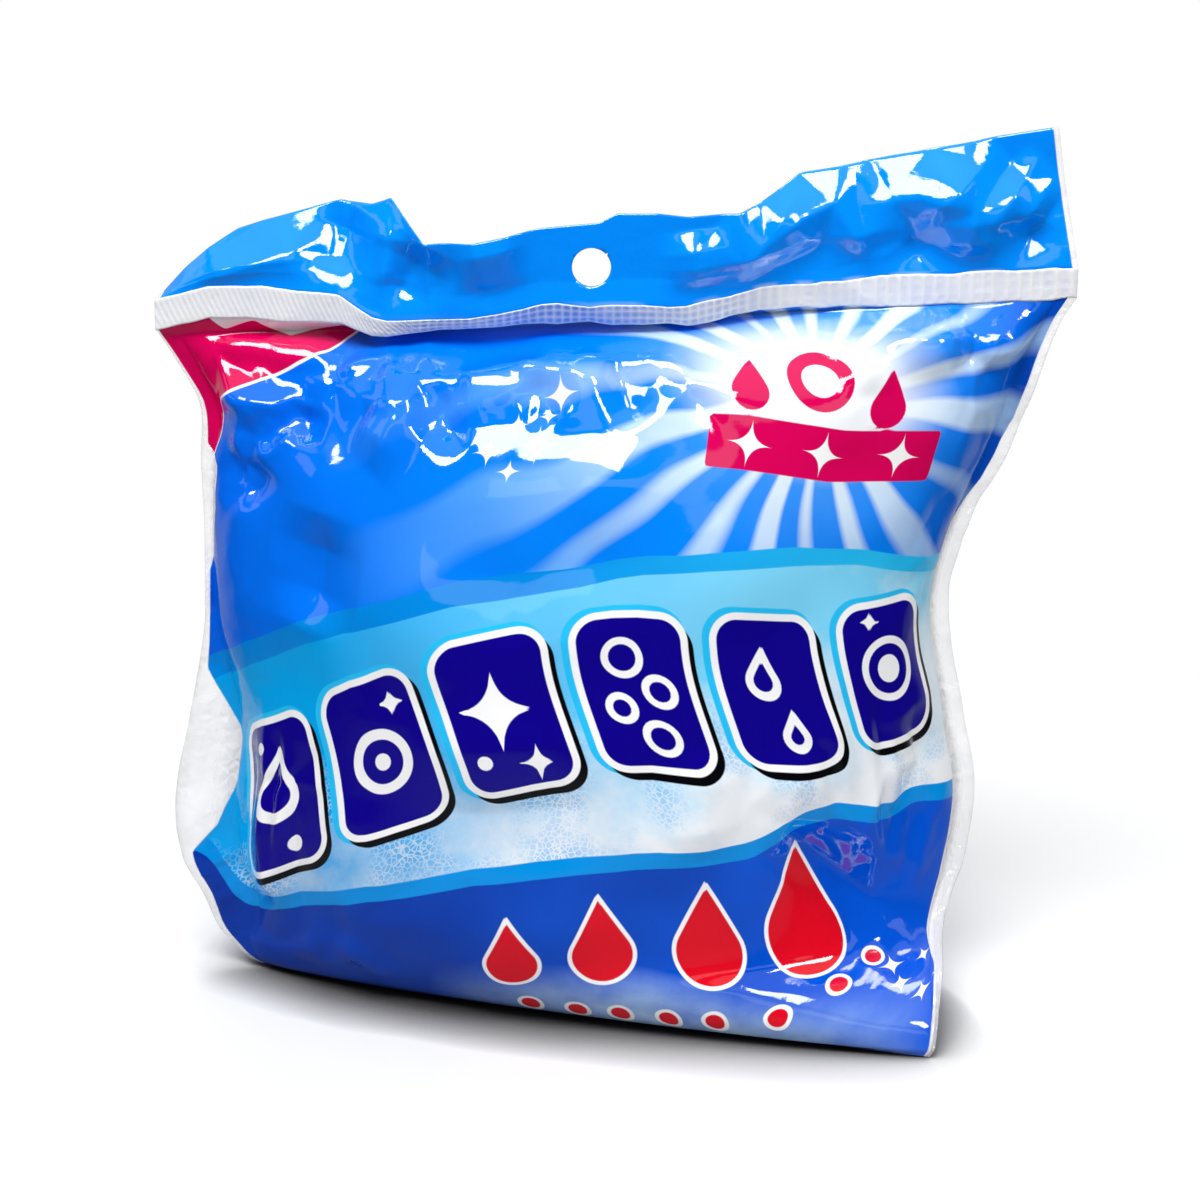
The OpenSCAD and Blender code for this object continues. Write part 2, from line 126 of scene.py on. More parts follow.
# share across and up, radius, height of the soft swellings over the tablets
frontLumps = [
    (0.3, 0.6, 19, 1.8), (0.47, 0.52, 20, -1.8), (0.63, 0.66, 18, 1.6), (0.79, 0.57, 18, 1.8),
    (0.37, 0.4, 20, 1.8), (0.56, 0.3, 18, 1.8), (0.22, 0.27, 16, 1.6), (0.72, 0.2, 17, -1.8),
    (0.41, 0.16, 17, 1.6), (0.5, 0.79, 16, 1.6), (0.19, 0.75, 15, 1.6), (0.76, 0.79, 16, -1.6),
    (0.16, 0.5, 16, -1.6), (0.84, 0.33, 15, 1.6)]
backLumps = [
    (0.28, 0.66, 20, 2.4), (0.52, 0.7, 20, 2.2), (0.75, 0.64, 19, 2.4), (0.38, 0.46, 20, 2.2),
    (0.63, 0.45, 20, 2.4), (0.2, 0.38, 18, 1.8), (0.82, 0.36, 17, 1.8), (0.3, 0.2, 19, 2),
    (0.55, 0.22, 19, 2.2), (0.74, 0.17, 17, 1.8), (0.44, 0.84, 15, 1.6), (0.67, 0.82, 15, -1.6)]
grain = {
    "columns": 281, "rows": 241, "neckRows": 4, "finColumns": 10, "headerRows": 46, "bandColumns": 641,
    "bandRows": 17, "bodyTop": 0.87, "neckTop": 0.9, "rowCrowd": 1.15, "sideCrowd": 0.45,
    # how square and how steep each side is rounded across
    "frontRound": (2.3, 0.75), "backRound": (2.6, 0.62),
    # share of the band's height at which the body's film ends
    "tuck": 0.04,
}
sealBand = {
    "thick": 0.62, "relief": 0.3, "pitch": 1.75, "rowsOfCells": 3,
    # the top of its middle leans forward: by how much, middle and width as shares across
    "lean": 2.4, "leanAt": (0.46, 0.22),
    # spacing and size of its unevenness: back, up, and in height
    "driftBack": (9, 0.4), "driftUp": (11, 0.4), "driftHeight": (5, 0.5),
}


def mix(a, b, k):
    return a + (b - a) * k


def smoothStep(x, low, high):
    k = np.clip((x - low) / (high - low), 0, 1)
    return k * k * (3 - 2 * k)


def level(t, c):
    xs, ys = levels[:, 0], levels[:, c]

    def slope(j):
        after, before = np.minimum(j + 1, len(xs) - 1), np.maximum(j - 1, 0)
        return (ys[after] - ys[before]) / (xs[after] - xs[before])

    i = np.clip(np.searchsorted(xs, t, side="right") - 1, 0, len(xs) - 2)
    h = xs[i + 1] - xs[i]
    u = (t - xs[i]) / h
    return ((2 * u**3 - 3 * u**2 + 1) * ys[i] + (u**3 - 2 * u**2 + u) * h * slope(i)
            + (3 * u**2 - 2 * u**3) * ys[i + 1] + (u**3 - u**2) * h * slope(i + 1))


def bandMiddle(k):
    return mix(film["bandLeft"], film["bandRight"], k) + np.interp(k, bandFolds[:, 0], bandFolds[:, 2])


def headPly(k, w, h, out):
    # w runs up the band, h up the header; out is the distance from the fold's middle plane
    edge = mix(cutFolds[0, 0], cutFolds[-1, 0], k)
    x = mix(k, edge, h) * film["width"]
    rise = film["headerHeight"] + np.interp(edge, cutFolds[:, 0], cutFolds[:, 2])
    top = bandMiddle(edge) + np.maximum(rise, film["sealHeight"] / 2 + film["leastHeader"])
    shown = film["sealHeight"] * np.interp(k, bandShows[:, 0], bandShows[:, 1])
    z = mix(bandMiddle(k) + (w - 0.5) * shown, top, h)
    foot = np.interp(k, bandFolds[:, 0], bandFolds[:, 1])
    y = mix(foot, np.interp(edge, cutFolds[:, 0], cutFolds[:, 1]), h)
    return np.stack(np.broadcast_arrays(x, y + out, z), -1) - np.array(film["middle"])


def bodyPly(side):
    # rows run up from the base to the band, columns from the left seal's free edge to the right one's
    fins = grain["finColumns"]
    a = np.linspace(0, 1, grain["columns"] - 2 * fins)
    a = mix(a, 0.5 - np.cos(np.pi * a) / 2, grain["sideCrowd"])
    across = np.concatenate([np.zeros(fins), a, np.ones(fins)])
    finLeft = np.concatenate([np.linspace(1, 0, fins + 1)[:-1], np.zeros(grain["columns"] - fins)])
    finRight = finLeft[::-1]
    border = (finLeft == 1) | (finRight == 1)
    levelRows = grain["rows"] - grain["neckRows"]
    t = (grain["bodyTop"] * np.linspace(0, 1, levelRows) ** grain["rowCrowd"])[:, None]
    c = [None] + [level(t, n) for n in range(1, 12)]
    left, right = c[3] * film["width"], c[4] * film["width"]
    innerLeft, innerRight = left + c[10] * film["sideSeal"], right - c[11] * film["sideSeal"]
    x = mix(innerLeft, innerRight, across) - finLeft * (innerLeft - left) + finRight * (right - innerRight)
    k = (x - left) / (right - left)
    z = mix(c[1] * film["bandLeft"], c[2] * film["bandRight"], k)
    p, q = grain["frontRound"] if side < 0 else grain["backRound"]
    full = np.where(finLeft + finRight == 0, np.clip(1 - np.abs(2 * across - 1) ** p, 0, 1) ** q, 0)
    deep = film["frontBulge"] * c[7] if side < 0 else film["backBulge"] * c[8] + film["baseDepth"] * c[9]
    gap = np.where(border, 0, mix(film["finGap"], film["fullGap"], np.minimum(1, 4 * full)))
    y = -film["earOut"] * mix(c[5], c[6], k) + side * (deep * full + gap)
    body = np.stack(np.broadcast_arrays(x, y, z), -1) - np.array(film["middle"])
    share = film["sideSeal"] / film["width"]
    ends = np.linspace(0, share, fins + 1)[:-1]
    kTop = np.concatenate([ends, mix(share, 1 - share, a), 1 - ends[::-1]])
    topRow = headPly(kTop[None, :], grain["tuck"], 0, side * np.where(border, 0, film["finGap"])[None, :])
    steps = np.linspace(0, 1, grain["neckRows"] + 1)[1:, None]
    neck = mix(body[-1:], topRow, steps[..., None])
    full = np.concatenate([np.tile(full, (len(t), 1)), np.zeros((len(steps), len(full)))])
    t = np.concatenate([t, mix(grain["bodyTop"], grain["neckTop"], steps)])
    return np.concatenate([body, neck]), full, t, finLeft, finRight


def bell(x, middle, width):
    return np.exp(-((x - middle) / width) ** 2)


def bandDrift(k, w):
    # how far back and up the band stands from its plain course
    along, noHeight = (k - 0.5) * film["width"], w * 0
    back = bell(k, *sealBand["leanAt"]) * sealBand["lean"] * (0.5 - w)
    back = back + facets(along, w * film["sealHeight"], *sealBand["driftBack"], 36, 1, 2)
    up = facets(along, noHeight, *sealBand["driftUp"], 37)
    return back, up + (w - 0.5) * facets(along, noHeight, *sealBand["driftHeight"], 38)


def layFlat(grid, centre, fromTop=True):
    # film coordinates in mm: u to the right of the centre column, v above the band's lower edge
    across = np.linalg.norm(np.diff(grid, axis=1), axis=2)
    u = np.concatenate([np.zeros((len(grid), 1)), np.cumsum(across, 1)], 1)
    u = u - u[:, centre:centre + 1]
    up = np.linalg.norm(np.diff(grid, axis=0), axis=2)
    v = np.concatenate([np.zeros((1, grid.shape[1])), np.cumsum(up, 0)])
    return u, v - v[-1:] if fromTop else v


def outward(grid, side):
    du = np.gradient(grid, axis=1)
    dv = np.gradient(grid, axis=0)
    n = np.cross(du, dv) * -side
    n /= np.maximum(np.linalg.norm(n, axis=2, keepdims=True), 1e-9)
    return n


print("film surface ready")

# Crumples: nets of flat triangles, all in film mm; a spot without a limit has an endless width
anywhere = (0, math.inf)
crumple = {
    "seed": 41, "left": -125, "right": 125, "low": -205, "high": 45, "step": 0.5, "jitter": 0.38,
    # spacing and size of each net, then of the wide ones that don't fade
    "nets": [(17, 2.3), (9, 0.62), (4.2, 0.07)], "wide": (26, 0.5), "backWide": (19, 0.6),
    # how much shows: on the plain face, at most, and at spots (amount, middle and width across and up)
    "face": 0.13, "most": 1.35,
    "spots": [(0.85, anywhere, (-17, 13)), (0.8, (-86, 14), anywhere), (0.56, (86, 11), anywhere),
              (1.25, (-80, 30), (-150, 30)), (0.625, (66, 28), (-150, 28))],
    # puckers under the band and beside the side seals: spacing, size; reach
    "pucker": (7, 0.8), "puckerReach": 14, "sidePucker": (5, 0.9), "sideReach": 11, "sideAt": 94,
    # the film is calmer near the base: as shares up
    "fadeEnd": 0.2, "calmFrom": 0.09, "calmRounds": 14, "calmDeepest": -1.0,
    # waves of the side seals: spacing of the bends, size left and right, and facets on them
    "bends": 9.0, "bendLeft": 1.6, "bendRight": 1.3, "finNets": [(7, 1.2), (2.6, 0.4)],
    # how far below the band its own course is followed
    "bandReach": 4,
}


def triangleNet(spacing, seed, stretchU=1, stretchV=1):
    rng = np.random.default_rng(seed)
    du, dv = spacing * stretchU, spacing * stretchV * 0.87
    rows = int((crumple["high"] - crumple["low"]) / dv) + 4
    cols = int((crumple["right"] - crumple["left"]) / du) + 4
    j, i = np.mgrid[0:rows, 0:cols]
    shaken = rng.uniform(-crumple["jitter"], crumple["jitter"], (2, *i.shape))
    pu = crumple["left"] + (i - 1 + 0.5 * (j % 2)) * du + shaken[0] * du
    pv = crumple["low"] + (j - 1) * dv + shaken[1] * dv
    heights = rng.uniform(-1, 1, i.size)
    points = np.stack([pu.ravel(), pv.ravel()], 1)
    made = delaunay_2d_cdt([Vector(p) for p in points], [], [], 0, 1e-5)
    corners, faces = np.array([tuple(p) for p in made[0]]), made[2]
    source = np.array([ids[0] for ids in made[3]])
    step = crumple["step"]
    wide = int((crumple["right"] - crumple["left"]) / step) + 1
    tall = int((crumple["high"] - crumple["low"]) / step) + 1
    net = np.zeros((tall, wide))

    def covered(low, high, start, count):
        return max(0, math.ceil((low - start) / step)), min(count, math.floor((high - start) / step) + 1)

    for face in faces:
        (x1, y1), (x2, y2), (x3, y3) = corners[list(face)]
        h1, h2, h3 = heights[source[list(face)]]
        i0, i1 = covered(min(x1, x2, x3), max(x1, x2, x3), crumple["left"], wide)
        j0, j1 = covered(min(y1, y2, y3), max(y1, y2, y3), crumple["low"], tall)
        if i0 >= i1 or j0 >= j1:
            continue
        x = crumple["left"] + step * np.arange(i0, i1)[None, :]
        y = crumple["low"] + step * np.arange(j0, j1)[:, None]
        area = (y2 - y3) * (x1 - x3) + (x3 - x2) * (y1 - y3)
        if abs(area) < 1e-9:
            continue
        a = ((y2 - y3) * (x - x3) + (x3 - x2) * (y - y3)) / area
        b = ((y3 - y1) * (x - x3) + (x1 - x3) * (y - y3)) / area
        within = (a >= -1e-6) & (b >= -1e-6) & (a + b <= 1 + 1e-6)
        part = net[j0:j1, i0:i1]
        part[within] = (a * h1 + b * h2 + (1 - a - b) * h3)[within]
    return net


def sampled(net, u, v):
    x = np.clip((u - crumple["left"]) / crumple["step"], 0, net.shape[1] - 1.001)
    y = np.clip((v - crumple["low"]) / crumple["step"], 0, net.shape[0] - 1.001)
    i, j = x.astype(int), y.astype(int)
    fx, fy = x - i, y - j
    return mix(mix(net[j, i], net[j, i + 1], fx), mix(net[j + 1, i], net[j + 1, i + 1], fx), fy)


def facets(u, v, spacing, size, seed, stretchU=1, stretchV=1):
    # the seed counts from the crumples' own
    return size * sampled(triangleNet(spacing, crumple["seed"] + seed, stretchU, stretchV), u, v)


def creaseAlong(x, y, points, halfWidth, height, blunt=0.3):
    # a straight-sided fold along several legs, fading out at its two ends only
    points = np.array(points, float)
    legs = np.hypot(*(points[1:] - points[:-1]).T)
    runs = np.concatenate([[0], np.cumsum(legs)])
    nearest = np.full(np.broadcast(x, y).shape, 1e9)
    along = np.zeros(nearest.shape)
    for a, b, run, leg in zip(points, points[1:], runs, legs):
        k = np.clip(((x - a[0]) * (b - a)[0] + (y - a[1]) * (b - a)[1]) / leg**2, 0, 1)
        d = np.hypot(x - a[0] - (b - a)[0] * k, y - a[1] - (b - a)[1] * k)
        along = np.where(d < nearest, (run + k * leg) / runs[-1], along)
        nearest = np.minimum(nearest, d)
    nearest = np.sqrt(nearest**2 + blunt**2) - blunt
    return height * np.clip(1 - nearest / halfWidth, 0, 1) * np.minimum(1, np.minimum(along, 1 - along) / 0.3)


def foldField(x, z, folds):
    scale = np.array([film["width"], (film["bandLeft"] + film["bandRight"]) / 2])
    return sum(creaseAlong(x, z, np.reshape(points, (-1, 2)) * scale, halfWidth, height)
               for halfWidth, height, *points in folds)


def lumpField(x, z, lumps):
    total = np.zeros(np.broadcast(x, z).shape)
    for k, up, radius, height in lumps:
        r = np.hypot(x - k * film["width"], z - up * (film["bandLeft"] + film["bandRight"]) / 2)
        total += height * (0.5 + 0.5 * np.cos(np.pi * np.minimum(1, r / radius)))
    return total


# Sharp creases of the front in film mm: from, to, half width, height
sharpCreases = [
    (-66, -22, -58, -19, 3, 0.9), (-58, -19, -49, -14, 3, 1.1), (-49, -14, -45, -16, 3, 1.1),
    (-45, -16, -40, -16, 3, 0.9), (-39, -10, -38, -23, 3, 1.2), (-38, -23, -34, -30, 3, 1.2),
    (-46, -17, -47, -27, 2.5, 1), (-47, -27, -53, -38, 2.5, 0.9), (-92, -22, -84, -18, 3, 1),
    (-84, -18, -78, -22, 3, 0.9), (-78, -22, -66, -22, 3, 1), (-70, -25, -73, -33, 3, -1.1),
    (-73, -33, -66, -28, 3, 1), (-83, -27, -79, -34, 3, 1), (-20, -22, -14, -29, 3, 0.9),
    (-8, -22, 0, -25, 3, 0.8), (0, -25, 12, -22, 3, 0.9), (12, -22, 18, -30, 3, 0.8),
    (-70, -90, -72, -128, 2.5, 1.1), (-74, -92, -75, -128, 2.5, -1), (-64, -155, -56, -163, 3, 0.9),
    (-48, -158, -40, -167, 3, 0.9), (-86, -136, -78, -148, 3, 1.2), (-90, -126, -80, -134, 3, -1.1),
    (30, -122, 84, -158, 4, -0.8), (66, -84, 66, -124, 3, -1.1), (52, -90, 56, -112, 4, 0.9),
    (74, -96, 80, -112, 4, 1.2), (80, -112, 70, -134, 4, -1.3), (-66, -142, -52, -150, 4, 1.2),
    (-80, -146, -66, -142, 4, -1.2), (-52, -150, -44, -162, 4, 1.1), (-60, -132, -56, -150, 4, -1),
    (-24, -160, -12, -166, 3, 0.9), (-34, -156, -28, -168, 3, -0.9), (74, -6, 80, -16, 3, 1.1),
    (80, -16, 88, -6, 3, 1.1), (84, -22, 90, -36, 3, 0.9), (62, -110, 66, -140, 3, 0.8),
    (50, -96, 54, -118, 3, -0.7), (70, -140, 76, -160, 3, 0.9)]
# Star pinches: u, v, reach, height, rays
pinches = [
    (78, -158, 8, 0.6, 7), (-85, -8, 8, 1.4, 9), (-60, -19, 7, 0.9, 7), (-34, -30, 8, 0.9, 7),
    (-80, -33, 7, 1, 8), (75, -13, 9, 1.1, 8), (-16, -28, 7, 0.8, 7), (15, -28, 7, 0.7, 6),
    (-88, -133, 9, 1.3, 9), (-60, -156, 8, 1, 7), (62, -152, 8, 0.5, 7), (-70, -104, 6, 0.7, 6),
    (84, -60, 8, 0.9, 7)]


def pinchField(u, v):
    rng = np.random.default_rng(crumple["seed"])
    total = np.zeros(u.shape)
    for pu, pv, reach, height, rays in pinches:
        r = np.hypot(u - pu, v - pv) / reach
        angle = np.arctan2(v - pv, u - pu)
        rise = r * np.exp(1 - r) * height
        apart = math.tau / rays
        for a in (np.arange(rays) + rng.uniform(-0.3, 0.3, rays)) * apart:
            away = np.abs((angle - a + np.pi) % math.tau - np.pi)
            total += rise * rng.choice([-0.8, 1]) * np.clip(1 - away / (0.75 * apart), 0, 1)
    return total


def soften(field, times):
    for _ in range(times):
        padded = np.pad(field, 1, mode="edge")
        field = (padded[:-2, 1:-1] + padded[2:, 1:-1] + padded[1:-1, :-2] + padded[1:-1, 2:] + 4 * field) / 8
    return field


def turned(u, v, at, turn):
    c, s = math.cos(turn), math.sin(turn)
    return (u - at[0]) * c + (v - at[1]) * s, (v - at[1]) * c - (u - at[0]) * s


# Motifs of the print: distances in mm, below zero inside
def boxShape(u, v, at, half, turn, corner):
    x, y = turned(u, v, at, turn)
    dx, dy = np.abs(x) - half[0] + corner, np.abs(y) - half[1] + corner
    return np.hypot(np.maximum(dx, 0), np.maximum(dy, 0)) + np.minimum(np.maximum(dx, dy), 0) - corner


def discShape(u, v, at, r):
    return np.hypot(u - at[0], v - at[1]) - r


def dropShape(u, v, at, r, turn=0):
    x, y = turned(u, v, at, turn)
    x, y = np.abs(x), y + 0.45 * r
    tip = 2.1 * r
    lean = math.asin(r / tip)
    side = x * math.cos(lean) + (y - tip) * math.sin(lean)
    return np.where(y > r * math.sin(lean), np.maximum(side, -y), np.hypot(x, y) - r)


def sparkShape(u, v, at, r):
    x, y = np.abs(u - at[0]) / r, np.abs(v - at[1]) / r
    return (np.sqrt(x) + np.sqrt(y) - 1) * r * 0.55


def ringShape(u, v, at, r, thick):
    return np.abs(np.hypot(u - at[0], v - at[1]) - r) - thick / 2


def union(*shapes):
    out = shapes[0]
    for s in shapes[1:]:
        out = np.minimum(out, s)
    return out


def placed(u, v, signs, middle=(0, 0)):
    # the forms of a sign about its middle; a hole is a drop taken out of the others
    kept = union(*[shapes[kind](u, v, (middle[0] + x, middle[1] + y), *sizes)
                   for kind, x, y, *sizes in signs if kind != "hole"])
    for kind, x, y, r in [sign for sign in signs if sign[0] == "hole"]:
        kept = np.maximum(kept, -dropShape(u, v, (middle[0] + x, middle[1] + y), r))
    return kept


shapes = {"disc": discShape, "drop": dropShape, "ring": ringShape, "spark": sparkShape}
tiles = {"first": (-73, -107), "last": (70, -83), "tall": (33, 30), "wide": (22.5, 21), "corner": 4.5,
         "lean": 0.13, "shadow": (1.3, -1.5), "cyan": (-0.9, 0.3)}
# what is cut out of each tile: form, across and up from the tile's middle, size, thickness of a ring
tileSigns = [
    [("drop", 0, 2, 5.85), ("hole", 0, 1.5, 3.825), ("disc", -5.625, 10.6875, 1.5),
     ("disc", 5.0625, -11.8125, 1.9)],
    [("ring", 0, -1, 6.105, 2.3), ("disc", 0, -1, 1.9), ("spark", 4.995, 11.1, 4)],
    [("spark", -1, 1, 10), ("spark", 5.475, -10.4025, 4.5), ("disc", -5.475, -9.855, 1.6)],
    [("ring", -2.7, 7.02, 3.6, 1.5), ("ring", 4.536, 1.08, 2.9, 1.5), ("ring", -3.78, -3.78, 2.6, 1.5),
     ("ring", 3.24, -9.18, 3.2, 1.5)],
    [("drop", -2, 3.7275, 3.834), ("hole", -2, 3.195, 2.13), ("drop", 3.2, -7.9875, 3.195),
     ("hole", 3.2, -8.52, 1.491)],
    [("disc", 0, 1.05, 3.15), ("ring", 0, 1.05, 6.51, 1.7), ("spark", -5.25, 11.55, 3.2)],
]
# borders of the print in film mm; the wave has a height
borders = {
    "stripe": [
        (-100, -76), (-93, -74), (-59, -69.6), (-36, -70), (-3, -67.6), (20, -62.7), (38, -57.9), (45, -56.2),
        (60, -55.8), (93, -59.8), (100, -61)],
    "lower": [
        (-100, -81), (-93, -79.2), (-59, -74.8), (-36, -74.8), (-15, -73.8), (0, -71.4), (20, -66.4),
        (46, -60), (60, -59.2), (93, -63.5), (100, -65)],
    "wave": [
        (-106, -114), (-97, -117), (-91, -127), (-86, -131), (-76, -131.2), (-52, -131.4), (-40, -132),
        (-20, -131.6), (4, -129), (25, -124.6), (33, -122.4), (39.6, -117.5), (44, -113.6), (52.7, -111.6),
        (63, -113), (71.5, -113.4), (77, -110), (90, -111.5), (100, -112)],
}
waveThick = 3.9
crimsonLabel = {"bar": [(45.3, -36.6), (25.6, 5.5), 0.07, 0.6],
                "above": [("drop", 27.5, -25.5, 3.9), ("ring", 42, -21.5, 5.4, 3), ("drop", 57, -24, 4)],
                "sparkReach": 5, "sparks": [(28.5, -37.8), (45, -36.7), (62.3, -35.3)]}
# red drops, leaning by a turn in radians, with a row of discs under them
redSigns = [("drop", -17, -153.5, 5.6, 0.12), ("drop", 2, -150, 6.4, 0.12), ("drop", 24.5, -146, 7.2, 0.12),
            ("drop", 46, -138, 9, 0.12)]
redDots = [(-11.5, -170), (-1, -169.5), (8.5, -168.5), (19, -166.5), (29, -164.5), (42, -161),
           (53, -154.5), (62, -148)]
redSigns += [("disc", x, y, 2.1) for x, y in redDots]
sparks = [((-24.5, -42.5), 3.4), ((-19.5, -37), 2.4), ((-14.8, -41.5), 4.6), ((-11, -31), 4),
          ((-19.5, -47), 2.6), ((-13.5, -35), 2.2), ((66, -152), 3.8), ((75, -154), 3), ((67, -159), 3.2),
          ((72, -165), 3), ((78, -164), 3)]
# the crimson corner patch; above the white line the film is painted white, partly print and partly a painted
# highlight where the corner under the band's left end faces the key light
cornerPatch = {
    "points": [(-110, -38), (-95, -36), (-90, -29), (-85, -18), (-72, -15.5), (-60, -12), (-54, -7),
               (-50, -3), (-46, 2)],
    "white": [(-90, 3), (-82, -3.5), (-76, -1), (-68, -7), (-60, -4.5), (-54, -1), (-50, 4)]}
backPanel = {"at": (0, -92), "half": (52, 27), "turn": 0.02, "corner": 6,
             "discs": [("disc", -32, 3, 12), ("disc", 0, 3, 12), ("disc", 32, 3, 12)],
             "signs": [("drop", -32, 3, 5), ("ring", 0, 3, 6, 2.4), ("spark", 32, 3, 9)],
             "lines": [-15, -20], "lineHalf": (40, 1.2), "patchEdge": 80, "patchLow": -36}
# way up in film mm, clear film inside the left and right edge
clearMargins = [(-185, 1, 1.5), (-160, 1, 2), (-146, 1.5, 5), (-135, 2, 7), (-120, 2.5, 7.5), (-114, 9, 7),
                (-104, 14, 6.5), (-94, 13, 6), (-86, 8, 5), (-77, 2, 5), (-66, 1.2, 5), (-55, 1.2, 4.5),
                (-50, 3, 4), (-42, 5, 3), (-33, 5, 3), (-28, 1.5, 2), (-12, 0.8, 2), (0, 0.6, 2)]
# where a motif isn't, its distance is farOff
printKeys = ("stripe", "lower", "wave", "motif", "shade", "cyanEdge", "cutOut", "red", "crimson", "patch",
             "whiteAndPaintedHighlight", "panel")
farOff = 30.0


def smoothLine(points, u):
    pts = np.array(points, float)
    fineU = np.linspace(pts[0, 0], pts[-1, 0], 400)
    fineV = np.interp(fineU, pts[:, 0], pts[:, 1])
    kernel = np.hanning(19) / np.hanning(19).sum()
    fineV = np.convolve(np.pad(fineV, 9, mode="edge"), kernel, mode="valid")
    return np.interp(u, fineU, fineV)


def printFields(u, v, plain):
    out = {key: np.full(u.shape, farOff) for key in printKeys}
    for key, points in borders.items():
        out[key] = v - smoothLine(points, u)
    if plain:
        # the unseen back: a pale panel with three round signs
        at = backPanel["at"]
        out["panel"] = boxShape(u, v, at, backPanel["half"], backPanel["turn"], backPanel["corner"])
        out["motif"] = placed(u, v, backPanel["discs"], at)
        out["cutOut"] = placed(u, v, backPanel["signs"], at)
        out["red"] = union(*[boxShape(u, v, (0, at[1] + low), backPanel["lineHalf"], backPanel["turn"], 1.1)
                             for low in backPanel["lines"]])
        # the corner patch runs round the side seal
        out["patch"] = np.maximum(backPanel["patchEdge"] - u, backPanel["patchLow"] - v)
        return out
    parts = {"motif": [], "shade": [], "cyanEdge": [], "cutOut": []}
    for n, signs in enumerate(tileSigns):
        k = n / (len(tileSigns) - 1)
        at = (mix(tiles["first"][0], tiles["last"][0], k), mix(tiles["first"][1], tiles["last"][1], k))
        half = (mix(*tiles["wide"], k) / 2, mix(*tiles["tall"], k) / 2)
        for key, (du, dv) in (("motif", (0, 0)), ("shade", tiles["shadow"]), ("cyanEdge", tiles["cyan"])):
            parts[key].append(boxShape(u - du, v - dv, at, half, tiles["lean"], tiles["corner"]))
        parts["cutOut"].append(placed(u, v, signs, at))
    for key, found in parts.items():
        out[key] = union(*found)
    out["red"] = placed(u, v, redSigns)
    out["crimson"] = union(boxShape(u, v, *crimsonLabel["bar"]), placed(u, v, crimsonLabel["above"]))
    out["patch"] = smoothLine(cornerPatch["points"], u) - v
    # above this line the film is white: partly print, partly a painted highlight
    out["whiteAndPaintedHighlight"] = smoothLine(cornerPatch["white"], u) - v
    return out


def makeMesh(name, verts, faces, uv, values):
    data = bpy.data.meshes.new(name)
    data.from_pydata([tuple(p) for p in verts * mm], [], faces)
    data.validate()
    data.update()
    layer = data.uv_layers.new(name="film")
    loopVerts = np.empty(len(data.loops), dtype=np.int64)
    data.loops.foreach_get("vertex_index", loopVerts)
    layer.data.foreach_set("uv", (uv[loopVerts] * 0.01).astype(np.float32).ravel())
    for key, value in values.items():
        attribute = data.attributes.new(key, "FLOAT", "POINT")
        attribute.data.foreach_set("value", value.astype(np.float32).ravel())
    data.polygons.foreach_set("use_smooth", np.ones(len(data.polygons), dtype=bool))
    piece = bpy.data.objects.new(name, data)
    bpy.context.scene.collection.objects.link(piece)
    return piece


def frontView(grid):
    # x and z of the points in the frame in which the folds are given
    return grid[..., 0] + film["middle"][0], grid[..., 2]


def finWave(z, amount, seed):
    knots = np.arange(-10, 220, crumple["bends"])
    rng = np.random.default_rng(seed)
    return amount * np.interp(z, knots, rng.uniform(-1, 1, len(knots)))


